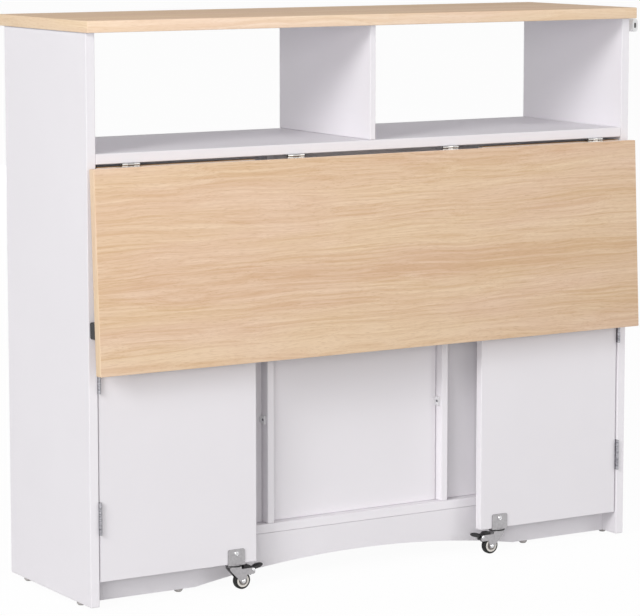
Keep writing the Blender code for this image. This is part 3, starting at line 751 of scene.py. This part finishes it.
@dataclass(frozen=True)
class Screw:
    """A screw's head with a cross recess, standing along +Z on a surface at z = 0.

    The flat, the recess and the blade are shares of the radius: the head's flat top, half the length of
    the recess and half its width. The cutter's middle lies at a share of the height.
    """

    radius: float
    height: float
    flat: float = 0.35
    recess: float = 0.62
    blade: float = 0.24
    cutter_rise: float = 0.95
    steps: int = 24
    rings: int = 4

    def mesh(self, name: str) -> bpy.types.Mesh:
        """Make the head.

        Args:
            name: the mesh's name.

        Returns:
            The head with its recess.
        """
        profile = [(0.0, self.height)]
        for step in range(self.rings + 1):
            angle = QUARTER_TURN * step / self.rings
            share = self.flat + (1 - self.flat) * math.sin(angle)
            profile.append((self.radius * share, self.height * math.cos(angle)))
        profile.append((0.0, 0.0))
        return self.cut(finish_mesh(turned(profile, self.steps, False), name), name)

    def cut(self, head: bpy.types.Mesh, name: str) -> bpy.types.Mesh:
        """Cut the cross recess into the head.

        Args:
            head: the plain head.
            name: the name of the cut mesh.

        Returns:
            The head with its recess.
        """
        stock = bpy.data.objects.new("stock", head)
        bpy.context.scene.collection.objects.link(stock)
        size = (2 * self.recess * self.radius, 2 * self.blade * self.radius, self.height, 1)
        rise = Matrix.Translation((0, 0, self.height * self.cutter_rise))
        cutters = []
        for turn in (0, QUARTER_TURN):
            place = rise @ Matrix.Rotation(turn, 4, "Z") @ Matrix.Diagonal(size)
            shape = bmesh.new()
            bmesh.ops.create_cube(shape, size=1.0, matrix=place)
            cutter = bpy.data.objects.new("cutter", finish_mesh(shape, "cutter"))
            bpy.context.scene.collection.objects.link(cutter)
            cutters.append(cutter)
            cut = stock.modifiers.new("cut", "BOOLEAN")
            cut.operation = "DIFFERENCE"
            cut.object = cutter
        bpy.context.view_layer.update()
        graph = bpy.context.evaluated_depsgraph_get()
        mesh = bpy.data.meshes.new_from_object(stock.evaluated_get(graph))
        for old in (stock, *cutters):
            bpy.data.objects.remove(old)
        mesh.name = name
        return mesh


@dataclass
class OakBoards:
    """The countertop and the drop leaf: laminated boards with banded, softly rounded edges."""

    round_over: float = 0.0012
    round_steps: int = 3
    round_profile: float = 0.5
    slot: str = "oak_laminate"

    def build(self) -> None:
        """Build both boards in place of the frame's plain ones."""
        self.build_countertop()
        self.build_leaf()

    def board(self, name: str, low: Vector, high: Vector, thin: Axis) -> bpy.types.Mesh:
        """Return a board whose faces, long bands and end bands have their own material slots.

        Args:
            name: the mesh's name.
            low: the lowest corner.
            high: the highest corner.
            thin: the axis of its thickness.

        Returns:
            The mesh.
        """
        shape = bmesh.new()
        place = Matrix.Translation((low + high) / 2) @ Matrix.Diagonal((*(high - low), 1.0))
        bmesh.ops.create_cube(shape, size=1.0, matrix=place)
        bmesh.ops.bevel(
            shape, geom=shape.edges[:], offset=self.round_over, segments=self.round_steps,
            profile=self.round_profile, affect="EDGES", clamp_overlap=True,
        )
        bmesh.ops.recalc_face_normals(shape, faces=shape.faces)
        for face in shape.faces:
            kind = BoardFace.LONG_BAND
            if abs(face.normal[thin.value]) > SQUARE_ON:
                kind = BoardFace.FACE
            elif abs(face.normal[Axis.X.value]) > FACING:
                kind = BoardFace.END_BAND
            face.material_index = kind.value
        return finish_mesh(shape, name)

    def build_countertop(self) -> None:
        """Build the countertop, with a white underside."""
        low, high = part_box("countertop")
        mesh = self.board("countertop_board", low, high, Axis.Z)
        for face in mesh.polygons:
            if face.normal.z < -SQUARE_ON:
                face.material_index = BoardFace.UNDERSIDE.value
        finishes = [OAK_FACE, OAK_LONG_BAND, OAK_END_BANDS[Axis.Y], MELAMINE[Axis.Z]]
        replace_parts(add_piece("countertop_board", mesh, finishes, "carcass"), "countertop")

    def build_leaf(self) -> None:
        """Build the leaf upright about its hinge, then lean it out as it hangs."""
        upright = Matrix.Rotation(leaf_lean(), 4, "X") @ Matrix.Translation(-joint_place("leaf_fold"))
        spots = [upright @ vertex.co for vertex in NODES["drop_leaf"].data.vertices]
        low = Vector([min(spot[axis.value] for spot in spots) for axis in Axis])
        high = Vector([max(spot[axis.value] for spot in spots) for axis in Axis])
        mesh = self.board("drop_leaf_board", low, high, Axis.Y)
        mesh.transform(upright.inverted())
        finishes = [OAK_FACE, OAK_LONG_BAND, OAK_END_BANDS[Axis.Z]]
        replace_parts(add_piece("drop_leaf_board", mesh, finishes, "leaf"), "drop_leaf")


@dataclass
class WhiteBoards:
    """The melamine boards of the carcass and the gates, which keep the frame's solids."""

    slot: str = "white_board"

    def dress(self) -> None:
        """Give each board the finish for the axis of its thickness, and the gates their own."""
        gates = [f"gate_{side.word}" for side in Side]
        for part in frame["record"]["subparts"]:
            if part["material_slot"] != self.slot:
                continue
            node = part["node"]
            low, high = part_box(node)
            size = list(high - low)
            thin = Axis(size.index(min(size)))
            dress([node], GATE_BOARD if node in gates else MELAMINE[thin])


@dataclass
class Hinges:
    """The butt hinges of the leaf and the gates, and the countersunk screws that show on the leaf's."""

    screw: Screw = Screw(radius=0.0026, height=0.0006)
    screw_inset: float = 0.0075
    # How far the screws lie past the middle between the pin and the flap's edge.
    screw_shift: float = 0.001
    sunk: float = 0.0001
    leaf_flap_face: float = 0.0002
    leaf_hinges: int = 4
    slot: str = "hinge_steel"

    def dress(self) -> None:
        """Give the plates their finishes."""
        dress(named("leaf_hinge_"), NICKEL)
        dress(named("gate_hinge_"), HINGE_STEEL)

    def build(self) -> None:
        """Build the screws of each leaf hinge, on the shelf's flap and on the leaf's."""
        head = self.screw.mesh("hinge_screw")
        pin = joint_place("leaf_fold")
        lean = Matrix.Translation(pin) @ Matrix.Rotation(-leaf_lean(), 4, "X")
        down = Matrix.Rotation(math.pi, 4, "X")
        inward = Matrix.Rotation(-QUARTER_TURN, 4, "X")
        for number in range(1, self.leaf_hinges + 1):
            name = f"leaf_hinge_{number}"
            plate = f"{name}_shelf_plate"
            low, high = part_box(plate)
            reach = (high.y - pin.y) / 2 + self.screw_shift
            shelf = self.flap_face(plate, Vector((0, 0, -1))) + self.sunk
            on_shelf = []
            on_leaf = []
            for x in (low.x + self.screw_inset, high.x - self.screw_inset):
                on_shelf.append((head, Matrix.Translation((x, pin.y + reach, shelf)) @ down))
                spot = Matrix.Translation((x - pin.x, self.leaf_flap_face - self.sunk, -reach))
                on_leaf.append((head, lean @ spot @ inward))
            for kind, places, body in (("shelf", on_shelf, "carcass"), ("leaf", on_leaf, "leaf")):
                screws = f"{name}_{kind}_screws"
                add_piece(screws, joined(places, screws), [SCREW_STEEL], body)

    def flap_face(self, node: str, facing: Vector) -> float:
        """Return how high the flap's face lies on a plate of the frame.

        Args:
            node: the plate's name.
            facing: the way that the face looks.

        Returns:
            The height of the plate's largest face that looks that way.
        """
        faces = [face for face in NODES[node].data.polygons if face.normal.dot(facing) > SQUARE_ON]
        return max(faces, key=lambda face: face.area).center.z


@dataclass
class Caster:
    """One braked caster on a gate: its finishes, tyre, seal, screw, rivets, axle heads and wheel rims."""

    side: Side
    bracket_screw: Screw = Screw(radius=0.0041, height=0.0020)
    screw_drop: float = 0.0068
    plate_gap: float = 0.0003
    plate_thickness: float = 0.0016
    seal_wall: float = 0.0010
    seal_clear: float = 0.0003
    seal_height: float = 0.0023
    rivet_radius: float = 0.0027
    rivet_height: float = 0.0010
    axle_radius: float = 0.0034
    axle_height: float = 0.0016
    # How far a leg's outer face lies inside the axle's end, and the heads stand off it.
    leg_inset: float = 0.0008
    head_clear: float = 0.0001
    rim_inner: float = 0.0074
    rim_outer: float = 0.0104
    rim_height: float = 0.0004
    tyre_shoulder: float = 0.0025
    tyre_steps: int = 72
    shoulder_steps: int = 6
    steps: int = 40
    dome_steps: int = 20
    dome_rings: int = 3

    @property
    def word(self) -> str:
        """The side's name in node and body names."""
        return self.side.word

    def dress(self) -> None:
        """Give the caster's solids their finishes."""
        dress([f"caster_bracket_{self.word}", f"caster_fork_{self.word}"], ZINC)
        dress([f"caster_hub_{self.word}"], GREY_NYLON)
        dress([f"brake_pedal_{self.word}"], BLACK_ABS)

    def build(self) -> None:
        """Build the tyre and the small fittings on the bracket, the fork and the wheel."""
        self.build_tyre()
        self.build_seal()
        self.build_bracket_screw()
        self.build_heads()
        self.build_rims()

    def dome(self, name: str, radius: float, height: float) -> bpy.types.Mesh:
        """Make a domed head that stands along +Z, with a short shank below.

        Args:
            name: the mesh's name.
            radius: the head's radius.
            height: the dome's height.

        Returns:
            The head.
        """
        profile = [(0.0, height)]
        for ring in range(1, self.dome_rings + 1):
            turn = QUARTER_TURN * ring / self.dome_rings
            profile.append((radius * math.sin(turn), height * math.cos(turn)))
        profile += [(radius, -height / 2), (0.0, -height / 2)]
        return finish_mesh(turned(profile, self.dome_steps, False), name)

    def both_sides(
        self, mesh: bpy.types.Mesh, centre: Vector, reach: float,
    ) -> list[tuple[bpy.types.Mesh, Matrix]]:
        """Place a mesh on both sides of the wheel, looking out.

        Args:
            mesh: the mesh, which stands along +Z.
            centre: the middle between the sides.
            reach: how far each one lies from the middle.

        Returns:
            The mesh with each of its places.
        """
        places = []
        for hand in HANDS:
            spot = Matrix.Translation(centre + Vector((0, hand * reach, 0)))
            places.append((mesh, spot @ Matrix.Rotation(-hand * QUARTER_TURN, 4, "X")))
        return places

    def build_tyre(self) -> None:
        """Build the smooth round tyre in place of the frame's faceted one."""
        node = f"caster_tyre_{self.word}"
        low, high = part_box(node)
        hub_low, hub_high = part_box(f"caster_hub_{self.word}")
        bore = (hub_high.z - hub_low.z) / 2
        half = (high.y - low.y) / 2
        soft = (high.z - low.z) / 2 - self.tyre_shoulder
        shoulder = []
        for step in range(self.shoulder_steps + 1):
            turn = QUARTER_TURN * step / self.shoulder_steps
            across = half - self.tyre_shoulder + self.tyre_shoulder * math.cos(turn)
            shoulder.append((soft + self.tyre_shoulder * math.sin(turn), across))
        mirrored = [(radius, -across) for radius, across in reversed(shoulder)]
        profile = [(bore, half), *shoulder, *mirrored, (bore, -half)]
        name = f"round_tyre_{self.word}"
        mesh = finish_mesh(turned(profile, self.tyre_steps, True), name)
        mesh.transform(Matrix.Translation((low + high) / 2) @ Matrix.Rotation(QUARTER_TURN, 4, "X"))
        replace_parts(add_piece(name, mesh, [RUBBER], f"{self.word}_wheel"), node)

    def build_seal(self) -> None:
        """Build the black seal round the ball race."""
        axis = joint_place(f"{self.word}_caster_swivel")
        race = axis.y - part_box(f"caster_bracket_{self.word}")[0].y
        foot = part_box(f"caster_fork_{self.word}")[1].z + self.seal_clear
        head = foot + self.seal_height
        outer = race + self.seal_wall
        lip = self.seal_wall / 3
        inner = race + lip / 3
        profile = [
            (inner, head), (outer - lip, head), (outer, head - lip),
            (outer, foot + lip), (outer - lip, foot), (inner, foot),
        ]
        name = f"swivel_seal_{self.word}"
        mesh = finish_mesh(turned(profile, self.steps, True), name)
        mesh.transform(Matrix.Translation((axis.x, axis.y, 0)))
        add_piece(name, mesh, [BLACK_ABS], f"{self.word}_gate")

    def build_bracket_screw(self) -> None:
        """Build the screw that holds the bracket to the gate."""
        low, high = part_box(f"caster_bracket_{self.word}")
        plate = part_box(f"gate_{self.word}")[0].y - self.plate_gap - self.plate_thickness
        spot = Matrix.Translation(((low.x + high.x) / 2, plate, high.z - self.screw_drop))
        name = f"bracket_screw_{self.word}"
        mesh = self.bracket_screw.mesh(name)
        mesh.transform(spot @ Matrix.Rotation(QUARTER_TURN, 4, "X"))
        add_piece(name, mesh, [SCREW_STEEL], f"{self.word}_gate")

    def build_heads(self) -> None:
        """Build the pedal's rivet heads and the axle's heads on both legs."""
        hub_low, hub_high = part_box(f"caster_hub_{self.word}")
        leg = (hub_high.y - hub_low.y) / 2 - self.leg_inset
        for kind, body, motion, radius, height in (
            ("pedal_rivets", "pedal", "press", self.rivet_radius, self.rivet_height),
            ("axle_heads", "wheel", "spin", self.axle_radius, self.axle_height),
        ):
            centre = joint_place(f"{self.word}_{body}_{motion}")
            reach = leg + height / 2 + self.head_clear
            name = f"{kind}_{self.word}"
            mesh = joined(self.both_sides(self.dome(kind, radius, height), centre, reach), name)
            add_piece(name, mesh, [SCREW_STEEL], f"{self.word}_{body}")

    def build_rims(self) -> None:
        """Build the pale rim on both faces of the wheel."""
        tyre_low, tyre_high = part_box(f"caster_tyre_{self.word}")
        bevel = self.rim_height / 2
        profile = [
            (self.rim_outer, -bevel), (self.rim_outer, bevel), (self.rim_outer - bevel, self.rim_height),
            (self.rim_inner + bevel, self.rim_height), (self.rim_inner, bevel), (self.rim_inner, -bevel),
        ]
        ring = finish_mesh(turned(profile, self.steps, True), "rim")
        centre = joint_place(f"{self.word}_wheel_spin")
        places = self.both_sides(ring, centre, (tyre_high.y - tyre_low.y) / 2)
        name = f"wheel_rims_{self.word}"
        add_piece(name, joined(places, name), [PALE_NYLON], f"{self.word}_wheel")


@dataclass
class Fittings:
    """The stops, clips, glides and towel rail, with the clips' screws and the black inserts of painted shade in
    the rail's ends.
    """

    clip_screw: Screw = Screw(radius=0.0021, height=0.0011)
    clip_screw_reach: float = 0.0062
    bar_thickness: float = 0.011
    # Black inserts sunk in the rail's hollow ends: painted shade for their insides.
    plug_width: float = 0.0042
    plug_height: float = 0.0087
    plug_depth: float = 0.0060
    plug_sunk: float = 0.0008
    plug_bevel: float = 0.0005
    plug_steps: int = 10

    def dress(self) -> None:
        """Give the fittings their finishes."""
        dress(named("leaf_stop"), BLACK_ABS)
        dress(named("panel_clip"), WHITE_PP)
        dress(named("glide"), LIGHT_NYLON)
        dress(["towel_rail"], ENAMEL)

    def build(self) -> None:
        """Build the clips' screws and the rail's end inserts of painted shade."""
        self.build_clip_screws()
        self.build_rail_plugs()

    def build_clip_screws(self) -> None:
        """Build the screw that holds each clip to its partition."""
        for side in Side:
            low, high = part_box(f"panel_clip_{side.word}")
            middle = (low + high) / 2
            spot = Matrix.Translation((middle.x, high.y - self.clip_screw_reach, middle.z))
            name = f"clip_screw_{side.word}"
            mesh = self.clip_screw.mesh(name)
            mesh.transform(spot @ Matrix.Rotation(-QUARTER_TURN, 4, "Y"))
            # Painted shade: the screws' dark steel stands in for the shade in their recesses.
            add_piece(name, mesh, [SHADED_SCREW_STEEL], "carcass")

    def build_rail_plugs(self) -> None:
        """Build black inserts in both ends of the towel rail: painted shade for the inside of its hollow ends."""
        low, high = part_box("towel_rail")
        shape = bmesh.new()
        layers = ((self.plug_bevel, 0.0), (0.0, self.plug_bevel), (0.0, self.plug_depth))
        for end, inward in ((low.y, 1), (high.y, -1)):
            middle = Vector((high.x - self.bar_thickness / 2, end, (low.z + high.z) / 2))
            rings = []
            for inset, depth in layers:
                spots = self.plug_ring(inset, inward * (self.plug_sunk + depth))
                rings.append([shape.verts.new(middle + spot) for spot in spots])
            for near, far in zip(rings, rings[1:]):
                for place in range(len(near)):
                    shape.faces.new((near[place - 1], near[place], far[place], far[place - 1]))
            shape.faces.new(rings[0])
            shape.faces.new(rings[-1])
        mesh = finish_mesh(shape, "rail_plugs")
        add_piece("rail_plugs", mesh, [BLACK_ABS], "carcass")

    def plug_ring(self, inset: float, depth: float) -> list[Vector]:
        """Return the outline of the black insert, with round ends.

        Args:
            inset: how far it is drawn in from the insert's full size.
            depth: how far along Y it lies.

        Returns:
            The outline's points.
        """
        radius = self.plug_width / 2 - inset
        rise = (self.plug_height - self.plug_width) / 2
        spots = []
        for start, up in ((0.0, rise), (math.pi, -rise)):
            for step in range(self.plug_steps + 1):
                turn = start + math.pi * step / self.plug_steps
                spots.append(Vector((radius * math.cos(turn), depth, up + radius * math.sin(turn))))
        return spots


# The stage


@dataclass(frozen=True)
class SoftBox:
    """A soft box of the studio, with its power in watts."""

    name: str
    place: tuple[float, float, float]
    width: float
    height: float
    power: float


@dataclass
class Studio:
    """The floor, the light and the camera, with the camera's angles in degrees and its lens in mm."""

    floor_reach: float = 40.0
    floor_paper: str = "#cccccc"
    # How much of the floor's white is its own, so that the shadow on it stays soft.
    floor_share: float = 0.96
    ambient: float = 0.38
    aim_height: float = 0.45
    yaw: float = 31.419
    pitch: float = 7.0953
    lens: float = 161.816
    sensor: float = 36.0
    shift: float = -0.08
    place: tuple[float, float, float] = (-2.4706, -3.9782, 1.0819)
    # Two boxes stand in front and one at each end. The low one behind lights the kitchen side.
    softboxes: tuple[SoftBox, ...] = (
        SoftBox("front_left_softbox", (-6.0, -7.4, 1.6), 4.7, 2.6, 241.0),
        SoftBox("front_right_softbox", (4.8, -6.2, 2.6), 3.6, 3.6, 120.0),
        SoftBox("left_softbox", (-8.7, -4.3, 5.0), 3.2, 3.2, 520.0),
        SoftBox("right_softbox", (6.9, 0.6, 2.1), 3.6, 3.6, 48.0),
        SoftBox("back_softbox", (1.5, 6.9, 0.44), 3.6, 0.8, 190.0),
    )

    def build(self) -> None:
        """Set up the stage."""
        self.build_floor()
        self.build_world()
        self.build_lamps()
        self.build_camera()
        bpy.context.scene.view_settings.view_transform = "Standard"

    def seen(self, tree: bpy.types.NodeTree) -> bpy.types.NodeSocket:
        """Tell the rays that show the background from those that light the island.

        Args:
            tree: the node tree of the floor or the world.

        Returns:
            A factor that is one for rays from the camera, mirrors and glass.
        """
        path = add_node(tree, "LightPath", {})
        factor = path.outputs["Is Camera Ray"]
        for ray in ("Is Glossy Ray", "Is Transmission Ray"):
            either = add_node(tree, "Math", {0: factor, 1: path.outputs[ray]}, operation="MAXIMUM")
            factor = either.outputs[0]
        return factor

    def build_floor(self) -> None:
        """Build the pale floor, which shows white but keeps a soft shadow."""
        shape = bmesh.new()
        bmesh.ops.create_grid(shape, x_segments=1, y_segments=1, size=self.floor_reach)
        floor = bpy.data.objects.new("floor", finish_mesh(shape, "floor"))
        material = bpy.data.materials.new("matt_white_paper")
        material.use_nodes = True
        tree = material.node_tree
        tree.nodes.clear()
        paper = add_node(tree, "BsdfDiffuse", {"Color": linear(self.floor_paper)})
        bright = add_node(tree, "BsdfDiffuse", {"Color": linear(WHITE)})
        glow = add_node(tree, "Emission", {"Color": linear(WHITE), "Strength": 1.0})
        shown = add_node(
            tree, "MixShader", {0: self.floor_share, 1: bright.outputs[0], 2: glow.outputs[0]},
        )
        both = add_node(tree, "MixShader", {0: self.seen(tree), 1: paper.outputs[0], 2: shown.outputs[0]})
        add_node(tree, "OutputMaterial", {0: both.outputs[0]})
        floor.data.materials.append(material)
        bpy.context.scene.collection.objects.link(floor)

    def build_world(self) -> None:
        """Build the even light of a white studio."""
        world = bpy.data.worlds.new("studio")
        world.use_nodes = True
        tree = world.node_tree
        tree.nodes.clear()
        soft = add_node(tree, "Background", {"Color": linear(WHITE), "Strength": self.ambient})
        white = add_node(tree, "Background", {"Color": linear(WHITE), "Strength": 1.0})
        both = add_node(tree, "MixShader", {0: self.seen(tree), 1: soft.outputs[0], 2: white.outputs[0]})
        add_node(tree, "OutputWorld", {0: both.outputs[0]})
        bpy.context.scene.world = world

    def build_lamps(self) -> None:
        """Place the soft boxes, aimed at the middle of the island."""
        for box in self.softboxes:
            lamp = bpy.data.lights.new(box.name, "AREA")
            lamp.shape = "RECTANGLE"
            lamp.size = box.width
            lamp.size_y = box.height
            lamp.energy = box.power
            softbox = bpy.data.objects.new(box.name, lamp)
            softbox.location = box.place
            aim = Vector((0, 0, self.aim_height)) - Vector(box.place)
            softbox.rotation_euler = aim.to_track_quat("-Z", "Y").to_euler()
            bpy.context.scene.collection.objects.link(softbox)

    def build_camera(self) -> None:
        """Place the camera at the photograph's angle."""
        lens = bpy.data.cameras.new("camera")
        lens.lens = self.lens
        lens.sensor_width = self.sensor
        lens.shift_y = self.shift
        camera = bpy.data.objects.new("camera", lens)
        camera.location = self.place
        camera.rotation_euler = (QUARTER_TURN - math.radians(self.pitch), 0, math.radians(-self.yaw))
        bpy.context.scene.collection.objects.link(camera)
        bpy.context.scene.camera = camera


def main() -> None:
    """Build the stage and the island's dress in order."""
    logging.basicConfig(level=logging.INFO, format="%(message)s")
    Studio().build()
    OakBoards().build()
    WhiteBoards().dress()
    for assembly in (Hinges(), *(Caster(side) for side in Side), Fittings()):
        assembly.dress()
        assembly.build()


if __name__ == "__main__":
    main()
